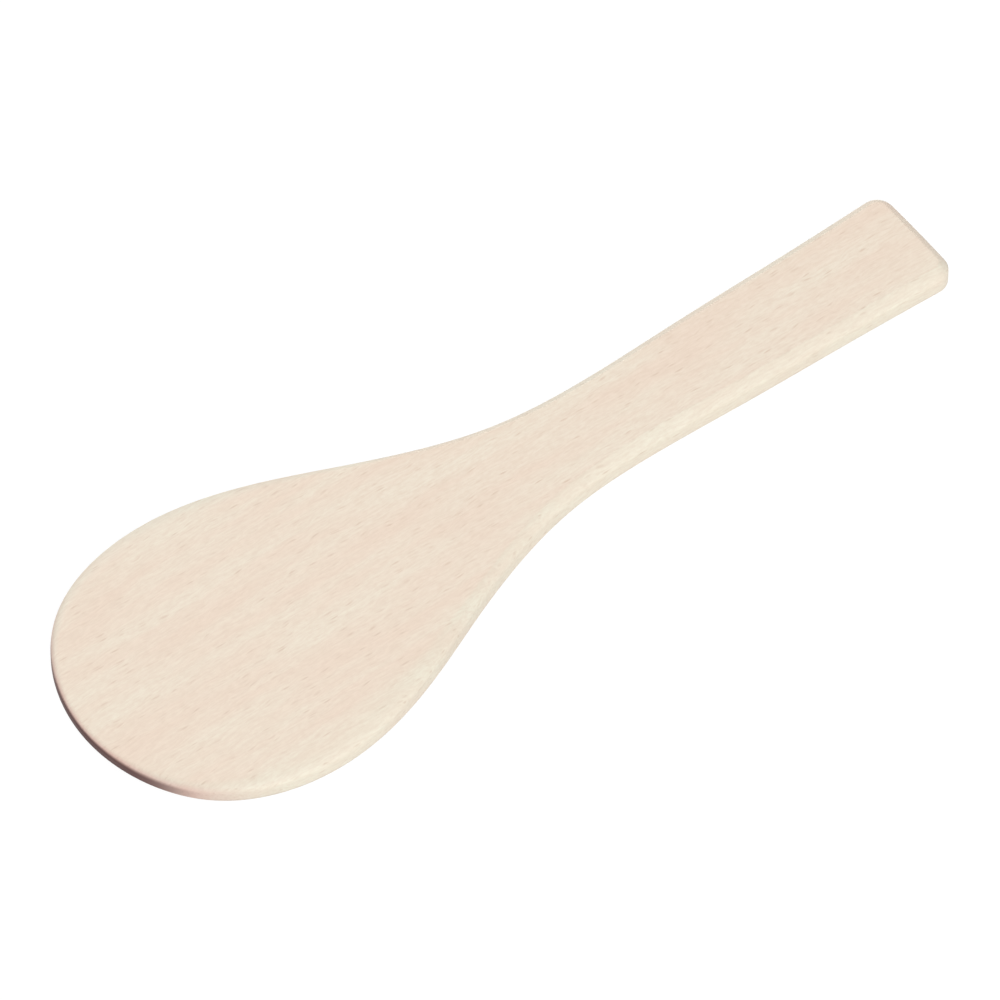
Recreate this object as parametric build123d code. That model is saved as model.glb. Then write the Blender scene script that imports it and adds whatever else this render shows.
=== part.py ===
from build123d import *
import os
from math import sqrt

# A rice paddle, sawn and sanded from one beech board.
# It lies flat, with +X from the blade's tip to the handle's end and +Z up from its underside.
# The curves below are drawn from the tip, with the middle of the board's thickness at height zero.

# The whole board, millimetres
length = 200.0
board_thickness = 7.4

# The blade seen from above
blade_width = 66.9
tip_to_widest = 36.0
tip_to_neck = 126.0

# The handle seen from above
neck_width = 20.5
handle_end_width = 24.3
end_corner_radius = 3.8
end_bow = 0.2

# The blade's thinning, seen from the side
tip_thickness = 3.0
upper_thinning_reach = 70.0
under_thinning_reach = 45.0

# The handle's edges are sanded bevels that reach so far into the face and down the side
handle_bevel_width = 2.0
handle_bevel_height = 2.1

# The blade's edges are quarter ovals that reach so far into the upper face and the underside
tip_edge_width = 1.5
side_edge_width = 6.2
flank_edge_width = 2.1
under_edge_width = 1.8

# The blade's edge passes into the handle's between these distances from the tip
blade_edge_end = 84.0
handle_edge_start = 118.0

# The side's curve between its named places, as shares of the way and of the change in half width
shoulder_share = (0.316, 0.767)
flank_shares = ((0.281, 0.24), (0.484, 0.586), (0.789, 0.948))
handle_shares = ((0.32, 0.327), (0.66, 0.584))

# The upright part of the blade's side, as a share of the way from mid height to either face
upper_side_share = 0.15
under_side_share = 0.45

# The handle's bevel follows a power curve, where 1 is flat and more is rounder
bevel_power = 1.4

# The rim is followed in four smooth pieces, each through so many stations:
# one side of the handle, the blade as far as the tip, the blade's other side, the handle's other side
piece_station_counts = (10, 18, 18, 10)

# How many narrow bands round off the edge from mid height to a face
edge_levels = 10

# How far the cutting shape runs past the board
overrun = 5.0


def between(start, finish, share):
    return start + (finish - start) * share


def eased(place, start, finish, before, after):
    """Pass smoothly from one value to another as the place goes from start to finish."""
    share = min(max((place - start) / (finish - start), 0), 1)
    return between(before, after, share * share * (3 - 2 * share))


def rim_curve():
    """The widest outline of the board, from one corner of the handle round the tip to the other."""
    half_blade, half_neck, half_end = blade_width / 2, neck_width / 2, handle_end_width / 2
    end = length - end_bow
    side = [(tip_to_widest * shoulder_share[0], half_blade * shoulder_share[1])]
    side.append((tip_to_widest, half_blade))
    for way, change in flank_shares:
        side.append((between(tip_to_widest, tip_to_neck, way), between(half_blade, half_neck, change)))
    side.append((tip_to_neck, half_neck))
    for way, change in handle_shares:
        side.append((between(tip_to_neck, end, way), between(half_neck, half_end, change)))
    side.append((end, half_end))
    far_side = [(x, -y) for x, y in side]
    return Spline(*reversed(side), (0, 0), *far_side)


def face_height(x, thinning_reach):
    """How far a face stands from mid height, thinned towards the tip over its reach."""
    short = max(thinning_reach - x, 0) / thinning_reach
    return between(board_thickness, tip_thickness, short**2) / 2


def blade_edge_width(x):
    if x < tip_to_widest:
        return eased(x, 0, tip_to_widest, tip_edge_width, side_edge_width)
    return eased(x, tip_to_widest, blade_edge_end, side_edge_width, flank_edge_width)


def inset(x, height):
    """How far the edge stands in from the rim at a height above or below the middle."""
    bevel_start = board_thickness / 2 - handle_bevel_height
    rise = max(abs(height) - bevel_start, 0) / handle_bevel_height
    handle_inset = handle_bevel_width * rise**bevel_power
    if height > 0:
        side_share, width, reach = upper_side_share, blade_edge_width(x), upper_thinning_reach
    else:
        side_share, width, reach = under_side_share, under_edge_width, under_thinning_reach
    climb = (abs(height) / face_height(x, reach) - side_share) / (1 - side_share)
    climb = min(max(climb, 0), 1)
    blade_inset = width * (1 - sqrt(1 - climb**2))
    return eased(x, blade_edge_end, handle_edge_start, blade_inset, handle_inset)


def rim_places():
    """Places along the rim by their share of its length, each with the direction into the wood."""
    rim = rim_curve()
    last_station = sum(piece_station_counts)
    shares = [station / last_station for station in range(last_station + 1)]
    return {share: (rim @ share, (rim % share).rotate(Axis.Z, 90)) for share in shares}


def course(points, shares, station):
    """Which way and how fast an outline passes a station, taken from the stations beside it."""
    before, after = max(station - 1, 0), min(station + 1, len(points) - 1)
    return (points[after] - points[before]) / (shares[after] - shares[before])


def outline(places, height):
    """The whole outline at one height, drawn in from the rim by the edge's inset there."""
    end_inset = inset(length, height)
    points = []
    for place, inward in places.values():
        point = place + inward * inset(place.X, height)
        points.append(Vector(min(point.X, length - end_bow - end_inset), point.Y))
    # Every outline takes the same parameters, so that the loft runs straight up the edge
    shares = list(places)
    sides = []
    first = 0
    for station_count in piece_station_counts:
        last = first + station_count
        span = slice(first, last + 1)
        courses = [course(points, shares, first), course(points, shares, last)]
        sides.append(Edge.make_spline(points[span], courses, parameters=shares[span], scale=False))
        first = last
    end = ThreePointArc(points[0], (length - end_inset, 0), points[-1])
    face = make_face([*sides, end])
    end_corners = face.vertices().sort_by(Axis.X)[-2:]
    return Pos(0, 0, height) * fillet(end_corners, radius=end_corner_radius - end_inset)


def level_heights():
    """Heights from the underside to the upper face."""
    levels = range(-edge_levels, edge_levels + 1)
    return [board_thickness / 2 * level / edge_levels for level in levels]


def side_profile():
    """The board seen from the side: parallel faces, drawn together towards the tip by long arcs."""
    half_board, half_tip = board_thickness / 2, tip_thickness / 2
    upper = TangentArc((upper_thinning_reach, half_board), (0, half_tip), tangent=(-1, 0))
    under = TangentArc((under_thinning_reach, -half_board), (0, -half_tip), tangent=(-1, 0))
    tip = Polyline(upper @ 1, (-overrun, half_tip), (-overrun, -half_tip), under @ 1)
    handle = Polyline(upper @ 0, (length + overrun, half_board), (length + overrun, -half_board), under @ 0)
    return Plane.XZ * make_face([upper, tip, under, handle])


def make_paddle():
    places = rim_places()
    board = loft([outline(places, height) for height in level_heights()], ruled=True)
    thinned = board & extrude(side_profile(), amount=blade_width, both=True)
    return Pos(-length / 2, 0, board_thickness / 2) * thinned


os.makedirs("parts", exist_ok=True)
paddle = make_paddle()
export_step(paddle, "parts/paddle.step")
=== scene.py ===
import bpy
from math import cos, pi, radians, sin, tan
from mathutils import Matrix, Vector


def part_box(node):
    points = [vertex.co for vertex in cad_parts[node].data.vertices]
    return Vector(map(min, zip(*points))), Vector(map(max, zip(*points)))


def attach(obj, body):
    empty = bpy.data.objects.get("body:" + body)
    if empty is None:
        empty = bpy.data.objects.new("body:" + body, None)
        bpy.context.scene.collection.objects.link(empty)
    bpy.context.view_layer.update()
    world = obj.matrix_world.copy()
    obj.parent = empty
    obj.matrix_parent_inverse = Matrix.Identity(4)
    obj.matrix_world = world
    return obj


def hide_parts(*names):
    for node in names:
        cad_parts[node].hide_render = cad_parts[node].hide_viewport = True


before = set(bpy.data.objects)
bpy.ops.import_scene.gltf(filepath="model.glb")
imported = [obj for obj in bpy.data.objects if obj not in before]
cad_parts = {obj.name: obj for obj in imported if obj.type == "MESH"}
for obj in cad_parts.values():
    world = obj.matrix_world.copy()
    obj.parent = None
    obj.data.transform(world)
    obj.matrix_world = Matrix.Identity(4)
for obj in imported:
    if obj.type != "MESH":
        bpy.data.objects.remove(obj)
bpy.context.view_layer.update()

# A rice paddle sawn and sanded from one pale beech board, lying on a white table.
# Everything is in metres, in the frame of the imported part: the blade's tip points along -X,
# the handle's end along +X, and the flat underside rests at height zero.

mm = 0.001

# The whole board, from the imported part
low_corner, high_corner = (Vector(corner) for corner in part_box("paddle"))
length = high_corner.x - low_corner.x
blade_width = high_corner.y - low_corner.y
board_thickness = high_corner.z - low_corner.z

# The outline, with distances from the blade's tip
tip_to_widest = 36.0 * mm
tip_to_neck = 126.0 * mm
neck_width = 20.5 * mm
handle_end_width = 24.3 * mm
end_corner_radius = 3.8 * mm
end_bow = 0.2 * mm

# The side's curve between its named places, as shares of the way and of the change in half width
shoulder_share = (0.316, 0.767)
flank_shares = ((0.281, 0.24), (0.484, 0.586), (0.789, 0.948))
handle_shares = ((0.32, 0.327), (0.66, 0.584))

# How closely the mesh follows the rim, the edge and the faces
rim_stations = 720
rim_steps_per_knot = 200
edge_levels = 16
face_columns = 22

# Points of the mesh that lie closer than this become one
weld_distance = 0.001 * mm

# The Mix node has two inputs and a result for each kind of value, and these are their places
vector_a, vector_b, vector_result = 4, 5, 1
colour_a, colour_b, colour_result = 6, 7, 2


def add_node(tree, kind, sources=None, **settings):
    """Add a node with its settings, its inputs filled from values, sockets or other nodes."""
    node = tree.nodes.new(kind)
    for name, value in settings.items():
        setattr(node, name, value)
    for name, source in (sources or {}).items():
        if isinstance(source, bpy.types.Node):
            source = source.outputs[0]
        if isinstance(source, bpy.types.NodeSocket):
            tree.links.new(source, node.inputs[name])
        else:
            node.inputs[name].default_value = source
    return node


def linear(hex_colour):
    """An sRGB colour such as #EEDFCD as linear red, green, blue and alpha."""
    channels = [int(hex_colour[place:place + 2], 16) / 255 for place in (1, 3, 5)]
    return (*(c / 12.92 if c <= 0.04045 else ((c + 0.055) / 1.055) ** 2.4 for c in channels), 1.0)


# The rim: the widest outline of the board

def side_points():
    """The points that one side's curve passes through, from beside the tip to the handle's corner."""
    def between(start, finish, share):
        return start + (finish - start) * share

    half_blade, half_neck, half_end = blade_width / 2, neck_width / 2, handle_end_width / 2
    end = length - end_bow
    points = [(tip_to_widest * shoulder_share[0], half_blade * shoulder_share[1])]
    points.append((tip_to_widest, half_blade))
    for way, change in flank_shares:
        points.append((between(tip_to_widest, tip_to_neck, way), between(half_blade, half_neck, change)))
    points.append((tip_to_neck, half_neck))
    for way, change in handle_shares:
        points.append((between(tip_to_neck, end, way), between(half_neck, half_end, change)))
    points.append((end, half_end))
    return [Vector((x, y, 0)) for x, y in points]


def smooth_slopes(points):
    """The slope at each point of the one smooth curve through them all, and the gaps between them.
    The slopes are found by sweeping down the points and back, as for any natural cubic spline."""
    gaps = [(after - before).length for before, after in zip(points, points[1:])]
    steps = [(after - before) / gap for before, after, gap in zip(points, points[1:], gaps)]
    last = len(points) - 1
    weights, sums = [0.5], [steps[0] * 1.5]
    for place in range(1, last):
        before, after = 1 / gaps[place - 1], 1 / gaps[place]
        whole = 2 * (before + after) - before * weights[-1]
        pull = 3 * (steps[place - 1] * before + steps[place] * after)
        sums.append((pull - sums[-1] * before) / whole)
        weights.append(after / whole)
    slopes = [(3 * steps[-1] - sums[-1]) / (2 - weights[-1])]
    for place in reversed(range(last)):
        slopes.insert(0, sums[place] - slopes[0] * weights[place])
    return slopes, gaps


def make_rim():
    """The rim as a closed Bezier curve that runs from the tip down the -Y side and back up the other."""
    far_side = side_points()
    near_side = [Vector((point.x, -point.y, 0)) for point in far_side]
    course = [*reversed(far_side), Vector((0, 0, 0)), *near_side]
    slopes, gaps = smooth_slopes(course)
    tip = len(far_side)

    # Each knot is its place with the handles before and after it, here for the near half
    knots = []
    for place in range(tip, len(course)):
        reach_after = gaps[place] / 3 if place < len(gaps) else 0
        before = course[place] - slopes[place] * gaps[place - 1] / 3
        knots.append([before, course[place], course[place] + slopes[place] * reach_after])

    # The last stretch of the side is cut where the corner's arc begins
    kept = 1 - end_corner_radius / gaps[-1]
    a, b, c, d = knots[-2][1], knots[-2][2], knots[-1][0], knots[-1][1]
    ab, bc, cd = a.lerp(b, kept), b.lerp(c, kept), c.lerp(d, kept)
    abc, bcd = ab.lerp(bc, kept), bc.lerp(cd, kept)
    knots[-2][2] = ab
    arc_reach = end_corner_radius * 4 / 3 * tan(radians(90) / 4)
    side_end = abc.lerp(bcd, kept)
    knots[-1] = [abc, side_end, side_end + slopes[-1].normalized() * arc_reach]

    # The corner's arc meets the end, which bows out by a little to its middle
    half_end = handle_end_width / 2
    meet = half_end - end_corner_radius
    bow_slope = Vector((-2 * end_bow * meet / half_end**2, -1, 0))
    end_start = Vector((length - end_bow * (meet / half_end) ** 2, -meet, 0))
    knots.append([end_start + bow_slope * arc_reach, end_start, end_start - bow_slope * meet / 3])
    middle = Vector((length, 0, 0))
    knots.append([middle - Vector((0, meet / 3, 0)), middle, middle + Vector((0, meet / 3, 0))])

    # The other half is the same in a mirror
    knots += [[Vector((point.x, -point.y, 0)) for point in reversed(knot)]
              for knot in reversed(knots[1:-1])]

    data = bpy.data.curves.new("paddle_rim", "CURVE")
    data.dimensions = "3D"
    spline = data.splines.new("BEZIER")
    spline.bezier_points.add(len(knots) - 1)
    spline.resolution_u = rim_steps_per_knot
    start = Vector((length / 2, 0, 0))
    for point, (before, place, after) in zip(spline.bezier_points, knots):
        point.handle_left_type = point.handle_right_type = "FREE"
        point.handle_left, point.co, point.handle_right = before - start, place - start, after - start
    spline.use_cyclic_u = True
    rim = bpy.data.objects.new("paddle_rim", data)
    bpy.context.collection.objects.link(rim)
    return rim


# The board: a skin drawn in from the rim by Geometry Nodes

board_sizes = {
    "Length": length,
    "Board thickness": board_thickness,
    "Tip thickness": 3.0 * mm,
    "Upper thinning reach": 70.0 * mm,
    "Under thinning reach": 45.0 * mm,
    "Tip to widest": tip_to_widest,
    "Bevel width": 2.0 * mm,
    "Bevel height": 2.1 * mm,
    "Bevel power": 1.4,
    "Sanded crease": 0.25 * mm,
    "Tip edge width": 1.5 * mm,
    "Side edge width": 6.2 * mm,
    "Flank edge width": 2.1 * mm,
    "Under edge width": 1.8 * mm,
    "Upper side share": 0.15,
    "Under side share": 0.45,
    "Blade edge end": 84.0 * mm,
    "Handle edge start": 118.0 * mm,
    "Ridge start": 22.0 * mm,
    "Ridge end": 192.0 * mm,
    "Edge share": edge_levels / (edge_levels + face_columns),
}


def face_height(tree, sizes, distance, reach):
    """How far a face stands from mid height at a distance from the tip, thinned over its reach."""
    short = add_node(tree, "ShaderNodeMapRange", {
        "Value": distance, "From Min": 0, "From Max": reach, "To Min": 1, "To Max": 0})
    share = add_node(tree, "ShaderNodeMath", {0: short, 1: short}, operation="MULTIPLY")
    whole = add_node(tree, "ShaderNodeMapRange", {
        "Value": share, "To Min": sizes["Board thickness"], "To Max": sizes["Tip thickness"]})
    return add_node(tree, "ShaderNodeMath", {0: whole, 1: 0.5}, operation="MULTIPLY")


def blade_edge_width(tree, sizes, distance):
    """How far the edge reaches into the blade's upper face: narrow at the tip, widest at the sides."""
    towards_side = add_node(tree, "ShaderNodeMapRange", {
        "Value": distance, "From Min": 0, "From Max": sizes["Tip to widest"],
        "To Min": sizes["Tip edge width"], "To Max": sizes["Side edge width"]},
        interpolation_type="SMOOTHSTEP")
    return add_node(tree, "ShaderNodeMapRange", {
        "Value": distance, "From Min": sizes["Tip to widest"], "From Max": sizes["Blade edge end"],
        "To Min": towards_side, "To Max": sizes["Flank edge width"]},
        interpolation_type="SMOOTHSTEP")


def edge_inset(tree, sizes, distance, climb, height, side_share, width):
    """How far the edge stands in from the rim, where climb runs from mid height to the face as 0 to 1."""
    # The handle's edge is a sanded bevel
    half_board = add_node(tree, "ShaderNodeMath", {
        0: sizes["Board thickness"], 1: 0.5}, operation="MULTIPLY")
    bevel_start = add_node(tree, "ShaderNodeMath", {
        0: half_board, 1: sizes["Bevel height"]}, operation="SUBTRACT")
    rise = add_node(tree, "ShaderNodeMapRange", {
        "Value": height, "From Min": bevel_start, "From Max": half_board})
    bevel = add_node(tree, "ShaderNodeMath", {0: rise, 1: sizes["Bevel power"]}, operation="POWER")
    handle_inset = add_node(tree, "ShaderNodeMath", {
        0: bevel, 1: sizes["Bevel width"]}, operation="MULTIPLY")

    # The blade's edge is a quarter oval above its upright side
    turn = add_node(tree, "ShaderNodeMapRange", {"Value": climb, "From Min": side_share, "From Max": 1})
    angle = add_node(tree, "ShaderNodeMath", {0: turn}, operation="ARCSINE")
    level = add_node(tree, "ShaderNodeMath", {0: angle}, operation="COSINE")
    fall = add_node(tree, "ShaderNodeMath", {0: 1, 1: level}, operation="SUBTRACT")
    blade_inset = add_node(tree, "ShaderNodeMath", {0: fall, 1: width}, operation="MULTIPLY")

    return add_node(tree, "ShaderNodeMapRange", {
        "Value": distance, "From Min": sizes["Blade edge end"], "From Max": sizes["Handle edge start"],
        "To Min": blade_inset, "To Max": handle_inset}, interpolation_type="SMOOTHSTEP")


def make_board_tree():
    """A closed skin from a grid: one way round the rim, the other from the underside's middle
    ridge out over the edge and back across the upper face."""
    tree = bpy.data.node_groups.new("paddle_board", "GeometryNodeTree")
    tree.interface.new_socket("Rim", in_out="INPUT", socket_type="NodeSocketGeometry")
    for name, value in board_sizes.items():
        tree.interface.new_socket(name, in_out="INPUT", socket_type="NodeSocketFloat")
    for name in ("Columns", "Stations"):
        tree.interface.new_socket(name, in_out="INPUT", socket_type="NodeSocketInt")
    tree.interface.new_socket("Beech", in_out="INPUT", socket_type="NodeSocketMaterial")
    tree.interface.new_socket("Board", in_out="OUTPUT", socket_type="NodeSocketGeometry")
    sizes = add_node(tree, "NodeGroupInput").outputs

    # The grid's X runs from -1 under the board to 1 above it, and its Y once round the rim
    grid = add_node(tree, "GeometryNodeMeshGrid", {
        "Size X": 2, "Size Y": 1, "Vertices X": sizes["Columns"], "Vertices Y": sizes["Stations"]})
    place = add_node(tree, "GeometryNodeInputPosition")
    grid_place = add_node(tree, "ShaderNodeSeparateXYZ", {0: place}).outputs
    round_share = add_node(tree, "ShaderNodeMath", {
        0: grid_place["Y"], 1: 0.5}, operation="ADD", use_clamp=True)
    side = add_node(tree, "ShaderNodeMath", {0: grid_place["X"]}, operation="SIGN")
    inward_share = add_node(tree, "ShaderNodeMath", {0: grid_place["X"]}, operation="ABSOLUTE")
    edge_turn = add_node(tree, "ShaderNodeMapRange", {
        "Value": inward_share, "From Max": sizes["Edge share"], "To Max": pi / 2})
    climb = add_node(tree, "ShaderNodeMath", {0: edge_turn}, operation="SINE")

    # The columns of a face stand closer together near the edge
    face_way = add_node(tree, "ShaderNodeMapRange", {
        "Value": inward_share, "From Min": sizes["Edge share"], "From Max": 1})
    face_share = add_node(tree, "ShaderNodeMath", {0: face_way, 1: 2}, operation="POWER")

    # The place on the rim, and the direction from it into the wood
    on_rim = add_node(tree, "GeometryNodeSampleCurve", {
        "Curves": sizes["Rim"], "Factor": round_share}, mode="FACTOR", use_all_curves=True).outputs
    inward = add_node(tree, "ShaderNodeVectorMath", {
        0: (0, 0, 1), 1: on_rim["Tangent"]}, operation="CROSS_PRODUCT")
    rim_x = add_node(tree, "ShaderNodeSeparateXYZ", {0: on_rim["Position"]}).outputs["X"]
    inward_x = add_node(tree, "ShaderNodeSeparateXYZ", {0: inward}).outputs["X"]
    half_length = add_node(tree, "ShaderNodeMath", {0: sizes["Length"], 1: 0.5}, operation="MULTIPLY")
    distance = add_node(tree, "ShaderNodeMath", {0: rim_x, 1: half_length}, operation="ADD")

    # How high this face stands where the edge meets it
    is_upper = add_node(tree, "FunctionNodeCompare", {"A": side, "B": 0}, data_type="FLOAT")
    reach = add_node(tree, "GeometryNodeSwitch", {
        "Switch": is_upper, "False": sizes["Under thinning reach"],
        "True": sizes["Upper thinning reach"]}, input_type="FLOAT")
    side_share = add_node(tree, "GeometryNodeSwitch", {
        "Switch": is_upper, "False": sizes["Under side share"],
        "True": sizes["Upper side share"]}, input_type="FLOAT")
    edge_width = add_node(tree, "GeometryNodeSwitch", {
        "Switch": is_upper, "False": sizes["Under edge width"],
        "True": blade_edge_width(tree, sizes, distance)}, input_type="FLOAT")
    drawn_in = add_node(tree, "ShaderNodeMath", {
        0: inward_x, 1: edge_width, 2: distance}, operation="MULTIPLY_ADD")
    top = face_height(tree, sizes, drawn_in, reach)
    height = add_node(tree, "ShaderNodeMath", {0: top, 1: climb}, operation="MULTIPLY")

    # The edge, drawn in from the rim, and the face, from there to the middle ridge
    inset = edge_inset(tree, sizes, distance, climb, height, side_share, edge_width)
    inset_step = add_node(tree, "ShaderNodeVectorMath", {0: inward, "Scale": inset}, operation="SCALE")
    on_edge = add_node(tree, "ShaderNodeVectorMath", {
        0: on_rim["Position"], 1: inset_step}, operation="ADD")
    round_turn = add_node(tree, "ShaderNodeMath", {
        0: round_share, 1: 2, 2: -1}, operation="MULTIPLY_ADD")
    from_end = add_node(tree, "ShaderNodeMath", {0: round_turn}, operation="ABSOLUTE")
    ridge_distance = add_node(tree, "ShaderNodeMapRange", {
        "Value": from_end, "To Min": sizes["Ridge end"], "To Max": sizes["Ridge start"]})
    ridge_x = add_node(tree, "ShaderNodeMath", {
        0: ridge_distance, 1: half_length}, operation="SUBTRACT")
    ridge = add_node(tree, "ShaderNodeCombineXYZ", {"X": ridge_x})
    plan_place = add_node(tree, "ShaderNodeMix", {
        "Factor": face_share, vector_a: on_edge, vector_b: ridge},
        data_type="VECTOR").outputs[vector_result]

    # The height: the edge's climb, carried on past its top, and the face, joined by a sanded crease
    own_x = add_node(tree, "ShaderNodeSeparateXYZ", {0: plan_place}).outputs["X"]
    own_distance = add_node(tree, "ShaderNodeMath", {0: own_x, 1: half_length}, operation="ADD")
    face = face_height(tree, sizes, own_distance, reach)
    past_edge = add_node(tree, "ShaderNodeVectorMath", {
        0: plan_place, 1: on_edge}, operation="DISTANCE")
    level_run = add_node(tree, "ShaderNodeMath", {
        0: sizes["Bevel width"], 1: sizes["Bevel power"]}, operation="MULTIPLY")
    slope = add_node(tree, "ShaderNodeMath", {0: sizes["Bevel height"], 1: level_run}, operation="DIVIDE")
    carried_on = add_node(tree, "ShaderNodeMath", {
        0: past_edge.outputs["Value"], 1: slope, 2: height}, operation="MULTIPLY_ADD")
    crease = add_node(tree, "ShaderNodeMapRange", {
        "Value": distance, "From Min": sizes["Blade edge end"], "From Max": sizes["Handle edge start"],
        "To Min": 0, "To Max": sizes["Sanded crease"]}, interpolation_type="SMOOTHSTEP")
    surface = add_node(tree, "ShaderNodeMath", {0: carried_on, 1: face, 2: crease}, operation="SMOOTH_MIN")
    half_board = add_node(tree, "ShaderNodeMath", {
        0: sizes["Board thickness"], 1: 0.5}, operation="MULTIPLY")
    z = add_node(tree, "ShaderNodeMath", {0: surface, 1: side, 2: half_board}, operation="MULTIPLY_ADD")
    lift = add_node(tree, "ShaderNodeCombineXYZ", {"Z": z})
    skin_place = add_node(tree, "ShaderNodeVectorMath", {0: plan_place, 1: lift}, operation="ADD")

    skin = add_node(tree, "GeometryNodeSetPosition", {"Geometry": grid, "Position": skin_place})
    closed = add_node(tree, "GeometryNodeMergeByDistance", {
        "Geometry": skin, "Distance": weld_distance})

    # This way round the rim, the grid's upper side comes to lie against the wood, so it is turned over
    outwards = add_node(tree, "GeometryNodeFlipFaces", {0: closed})
    smooth = add_node(tree, "GeometryNodeSetShadeSmooth", {"Geometry": outwards})
    real = add_node(tree, "GeometryNodeRealizeInstances", {0: smooth})
    finished = add_node(tree, "GeometryNodeSetMaterial", {"Geometry": real, "Material": sizes["Beech"]})
    add_node(tree, "NodeGroupOutput", {"Board": finished})
    return tree


def make_board(beech):
    """Run the tree on the rim and keep the result as a plain mesh."""
    rim = make_rim()
    tree = make_board_tree()
    modifier = rim.modifiers.new("board", "NODES")
    modifier.node_group = tree
    columns = 2 * (edge_levels + face_columns) + 1
    values = {**board_sizes, "Columns": columns, "Stations": rim_stations + 1, "Beech": beech}
    for item in tree.interface.items_tree:
        if item.in_out == "INPUT" and item.name in values:
            modifier[item.identifier] = values[item.name]
    bpy.context.view_layer.update()
    evaluated = rim.evaluated_get(bpy.context.evaluated_depsgraph_get())
    mesh = bpy.data.meshes.new_from_object(evaluated)
    rim.modifiers.remove(modifier)
    bpy.data.objects.remove(rim)
    mesh.name = "beech_paddle"
    board = bpy.data.objects.new("beech_paddle", mesh)
    bpy.context.collection.objects.link(board)
    return board


# Beech: steamed, planed and sanded but not oiled, so it is pale, warm and nearly matt,
# with short darker ray flecks along the grain and soft pink and cream streaks

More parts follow.
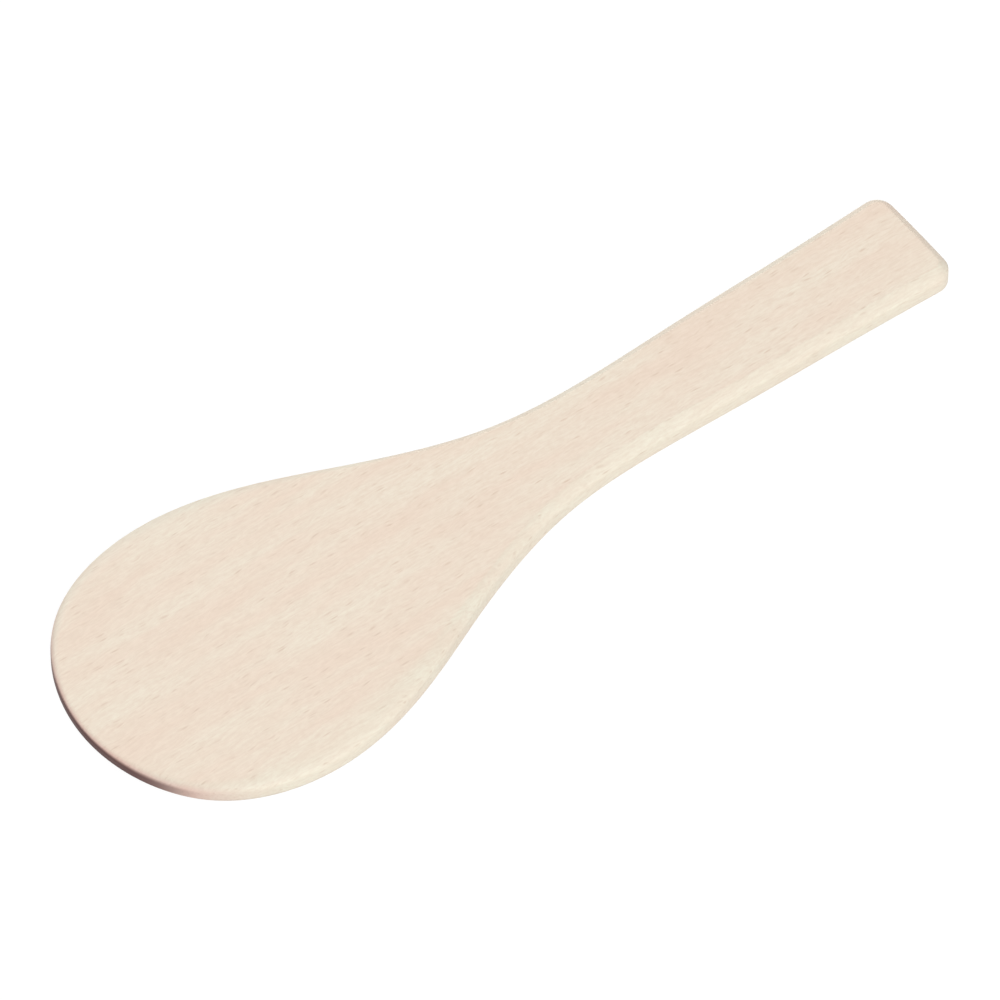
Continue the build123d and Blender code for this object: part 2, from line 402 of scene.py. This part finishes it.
def make_beech():
    material = bpy.data.materials.new("beech")
    material.use_nodes = True
    tree = material.node_tree
    tree.nodes.clear()

    # Coordinates in millimetres, with the grain along X wandering by about 0.3 mm to each side
    place = add_node(tree, "ShaderNodeTexCoord").outputs["Object"]
    in_mm = add_node(tree, "ShaderNodeMapping", {"Vector": place, "Scale": (1 / mm, 1 / mm, 1 / mm)})
    wander_place = add_node(tree, "ShaderNodeMapping", {
        "Vector": in_mm, "Scale": (1 / 5, 1 / 2.5, 1 / 2.5)})
    wander = add_node(tree, "ShaderNodeTexNoise", {"Vector": wander_place, "Scale": 1, "Detail": 1})
    wander_centred = add_node(tree, "ShaderNodeVectorMath", {
        0: wander.outputs["Color"], 1: (0.5, 0.5, 0.5)}, operation="SUBTRACT")
    wander_step = add_node(tree, "ShaderNodeVectorMath", {
        0: wander_centred, 1: (1.0, 1.2, 1.2)}, operation="MULTIPLY")
    grain = add_node(tree, "ShaderNodeVectorMath", {0: in_mm, 1: wander_step}, operation="ADD")

    # Soft streaks 34 mm long and 5 mm wide, between a pinker and a creamier beech
    streak_place = add_node(tree, "ShaderNodeMapping", {
        "Vector": grain, "Scale": (1 / 34, 1 / 5, 1 / 8)})
    streak = add_node(tree, "ShaderNodeTexNoise", {
        "Vector": streak_place, "Scale": 1, "Detail": 2, "Roughness": 0.5})
    streak_share = add_node(tree, "ShaderNodeMapRange", {
        "Value": streak, "From Min": 0.28, "From Max": 0.72}, interpolation_type="SMOOTHSTEP")
    ground = add_node(tree, "ShaderNodeMix", {
        "Factor": streak_share, colour_a: linear("#EFE1CF"), colour_b: linear("#F0EAD8")},
        data_type="RGBA").outputs[colour_result]

    # Ray flecks up to 3 mm long and 0.5 mm wide, fading outwards and uneven in strength,
    # in broken rows along the grain
    fleck_cells = add_node(tree, "ShaderNodeMapping", {
        "Vector": grain, "Scale": (1 / 4.2, 1 / 0.7, 1 / 0.8)})
    cell = add_node(tree, "ShaderNodeTexVoronoi", {
        "Vector": fleck_cells, "Scale": 1, "Randomness": 0.8}).outputs
    fleck_shape = add_node(tree, "ShaderNodeMapRange", {
        "Value": cell["Distance"], "From Min": 0.05, "From Max": 0.38, "To Min": 1, "To Max": 0},
        interpolation_type="SMOOTHSTEP")
    cell_value = add_node(tree, "ShaderNodeSeparateXYZ", {0: cell["Color"]}).outputs["X"]
    fleck_strength = add_node(tree, "ShaderNodeMath", {0: cell_value, 1: 2}, operation="POWER")
    fleck = add_node(tree, "ShaderNodeMath", {0: fleck_shape, 1: fleck_strength}, operation="MULTIPLY")
    flecked = add_node(tree, "ShaderNodeMix", {
        "Factor": fleck, colour_a: ground, colour_b: linear("#DCCAB6")},
        data_type="RGBA").outputs[colour_result]

    # Fibres drawn 0.35 mm wide and pores 0.6 mm wide, both coarser than they are so that they show
    fibre_lines = add_node(tree, "ShaderNodeMapping", {
        "Vector": grain, "Scale": (1 / 4, 1 / 0.35, 1 / 0.5)})
    fibre = add_node(tree, "ShaderNodeTexNoise", {
        "Vector": fibre_lines, "Scale": 1, "Detail": 1, "Roughness": 0.5})
    pore_spots = add_node(tree, "ShaderNodeMapping", {
        "Vector": grain, "Scale": (1 / 1.2, 1 / 0.6, 1 / 0.6)})
    pores = add_node(tree, "ShaderNodeTexNoise", {
        "Vector": pore_spots, "Scale": 1, "Detail": 2, "Roughness": 0.6})
    texture = add_node(tree, "ShaderNodeMath", {0: fibre, 1: pores}, operation="ADD")
    fibre_share = add_node(tree, "ShaderNodeMapRange", {
        "Value": texture, "From Min": 0.7, "From Max": 1.3, "To Min": 0.0, "To Max": 0.5})
    fibred = add_node(tree, "ShaderNodeMix", {
        "Factor": fibre_share, colour_a: flecked, colour_b: linear("#E1D0BD")},
        data_type="RGBA").outputs[colour_result]

    # The sides are painted a little paler and less pink than the faces: partly the side grain's own tone,
    # partly a painted highlight standing in for the lit bevels
    facing = add_node(tree, "ShaderNodeTexCoord").outputs["Normal"]
    facing_axes = add_node(tree, "ShaderNodeSeparateXYZ", {0: facing}).outputs
    sideways = add_node(tree, "ShaderNodeMath", {0: facing_axes["Y"]}, operation="ABSOLUTE")
    side_grain_and_highlight = add_node(tree, "ShaderNodeMapRange", {
        "Value": sideways, "From Min": 0.05, "From Max": 0.45}, interpolation_type="SMOOTHSTEP")
    tone = add_node(tree, "ShaderNodeMix", {
        "Factor": side_grain_and_highlight, colour_a: linear("#FFFAFA"), colour_b: linear("#FFFFFF")},
        data_type="RGBA").outputs[colour_result]
    toned = add_node(tree, "ShaderNodeMix", {
        "Factor": 1, colour_a: fibred, colour_b: tone},
        data_type="RGBA", blend_type="MULTIPLY").outputs[colour_result]

    # As the rim turns towards the tip, away from the lamps, it is painted pinker and then dark: painted
    # shade on the tip's edge, the pink partly the end grain's own tint. The handle's end stays as pale as
    # the sides
    towards_tip = add_node(tree, "ShaderNodeMath", {0: facing_axes["X"], 1: -1}, operation="MULTIPLY")
    pink_share = add_node(tree, "ShaderNodeMapRange", {
        "Value": towards_tip, "From Min": 0.3, "From Max": 0.95}, interpolation_type="SMOOTHSTEP")
    pinked = add_node(tree, "ShaderNodeMix", {
        "Factor": pink_share, colour_a: toned, colour_b: linear("#F7DFE4")},
        data_type="RGBA", blend_type="MULTIPLY").outputs[colour_result]
    # The dark brown is painted shade where the tip's edge turns under and away from the light
    tip_painted_shade = add_node(tree, "ShaderNodeMapRange", {
        "Value": towards_tip, "From Min": 0.68, "From Max": 0.95}, interpolation_type="SMOOTHSTEP")
    coloured = add_node(tree, "ShaderNodeMix", {
        "Factor": tip_painted_shade, colour_a: pinked, colour_b: linear("#6C4C48")},
        data_type="RGBA").outputs[colour_result]

    # Sanded wood is nearly matt, duller in the creamier streaks, and the dark marks are sunk
    # into it by some hundredths of a millimetre at most
    relief = add_node(tree, "ShaderNodeMath", {0: fibre_share, 1: fleck}, operation="ADD")
    bump = add_node(tree, "ShaderNodeBump", {
        "Height": relief, "Strength": 0.5, "Distance": 0.02 * mm}, invert=True)
    dull = add_node(tree, "ShaderNodeMapRange", {"Value": streak, "To Min": 0.52, "To Max": 0.66})
    surface = add_node(tree, "ShaderNodeBsdfPrincipled", {
        "Base Color": coloured, "Roughness": dull, "IOR": 1.5, "Specular IOR Level": 0.35,
        "Normal": bump})
    add_node(tree, "ShaderNodeOutputMaterial", {"Surface": surface})
    return material


# The table, the light and the camera

def make_table():
    """A white table that looks pure white to the camera, but for a trace of the paddle's shadow."""
    half_side = 3.0

    # The camera sees mostly a glow a little over white, and for the rest the lit matt table
    glow_share, glow_strength = 0.85, 1.11
    material = bpy.data.materials.new("white_table")
    material.use_nodes = True
    tree = material.node_tree
    tree.nodes.clear()
    matt = add_node(tree, "ShaderNodeBsdfDiffuse", {"Color": linear("#DADADA")})
    glow = add_node(tree, "ShaderNodeEmission", {
        "Color": linear("#FFFFFF"), "Strength": glow_strength})
    seen = add_node(tree, "ShaderNodeLightPath").outputs
    straight = add_node(tree, "ShaderNodeMath", {
        0: seen["Is Camera Ray"], 1: seen["Is Glossy Ray"]}, operation="MAXIMUM")
    seen_white = add_node(tree, "ShaderNodeMath", {
        0: straight, 1: seen["Is Transmission Ray"]}, operation="MAXIMUM")
    white_share = add_node(tree, "ShaderNodeMath", {
        0: seen_white, 1: glow_share}, operation="MULTIPLY")
    mixed = add_node(tree, "ShaderNodeMixShader", {"Fac": white_share, 1: matt, 2: glow})
    add_node(tree, "ShaderNodeOutputMaterial", {"Surface": mixed})

    # It lies a hair below the underside, so that the two never share a plane
    height = -0.05 * mm
    sides = ((-1, -1), (1, -1), (1, 1), (-1, 1))
    corners = [(x * half_side, y * half_side, height) for x, y in sides]
    mesh = bpy.data.meshes.new("table")
    mesh.from_pydata(corners, [], [(0, 1, 2, 3)])
    mesh.materials.append(material)
    table = bpy.data.objects.new("table", mesh)
    bpy.context.collection.objects.link(table)


def make_sky():
    """An even white studio all round, seen as pure white and lighting the paddle by a fifth of that."""
    world = bpy.data.worlds.new("studio")
    bpy.context.scene.world = world
    world.use_nodes = True
    tree = world.node_tree
    tree.nodes.clear()
    seen = add_node(tree, "ShaderNodeLightPath").outputs["Is Camera Ray"]
    strength = add_node(tree, "ShaderNodeMapRange", {"Value": seen, "To Min": 0.2, "To Max": 1})
    light = add_node(tree, "ShaderNodeBackground", {
        "Color": linear("#FFFFFF"), "Strength": strength})
    add_node(tree, "ShaderNodeOutputWorld", {"Surface": light})


def make_softbox(name, azimuth, elevation, distance, size, power):
    """A square lamp that faces the paddle from a bearing round it and an angle above the table."""
    lamp = bpy.data.lights.new(name, "AREA")
    lamp.size = size
    lamp.energy = power
    box = bpy.data.objects.new(name, lamp)
    bearing, rise = radians(azimuth), radians(elevation)
    towards = Vector((cos(bearing) * cos(rise), sin(bearing) * cos(rise), sin(rise)))
    box.location = towards * distance
    box.rotation_euler = towards.to_track_quat("Z", "Y").to_euler()
    bpy.context.collection.objects.link(box)


def make_camera():
    """The photograph's camera, found by fitting the paddle's own symmetry and outline."""
    image_width = 1000
    focal_pixels = 12000
    sensor = 36.0
    elevation, azimuth = radians(53.25), radians(-36.77)
    distance = 2306.4 * mm
    back = Vector((sin(azimuth) * cos(elevation), -cos(azimuth) * cos(elevation), sin(elevation)))
    right = Vector((cos(azimuth), sin(azimuth), 0))
    up = back.cross(right)

    # The middle of the board lies this many millimetres right of the image's middle and above it
    off_right, off_up = 1.602, 3.206
    aim = Vector((0, 0, board_thickness / 2)) - right * off_right * mm - up * off_up * mm
    data = bpy.data.cameras.new("camera")
    data.sensor_width = sensor
    data.lens = focal_pixels / image_width * sensor
    data.clip_start, data.clip_end = 0.1, 20
    camera = bpy.data.objects.new("camera", data)
    camera.location = aim + back * distance
    camera.rotation_euler = back.to_track_quat("Z", "Y").to_euler()
    bpy.context.collection.objects.link(camera)
    bpy.context.scene.camera = camera


beech = make_beech()
paddle = make_board(beech)
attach(paddle, "root")
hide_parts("paddle")

make_table()
make_sky()
make_softbox("near_softbox", azimuth=-97, elevation=40, distance=4.0, size=2.8, power=144)
make_softbox("far_softbox", azimuth=85, elevation=30, distance=4.0, size=2.8, power=114)
make_camera()
bpy.context.scene.view_settings.view_transform = "Standard"
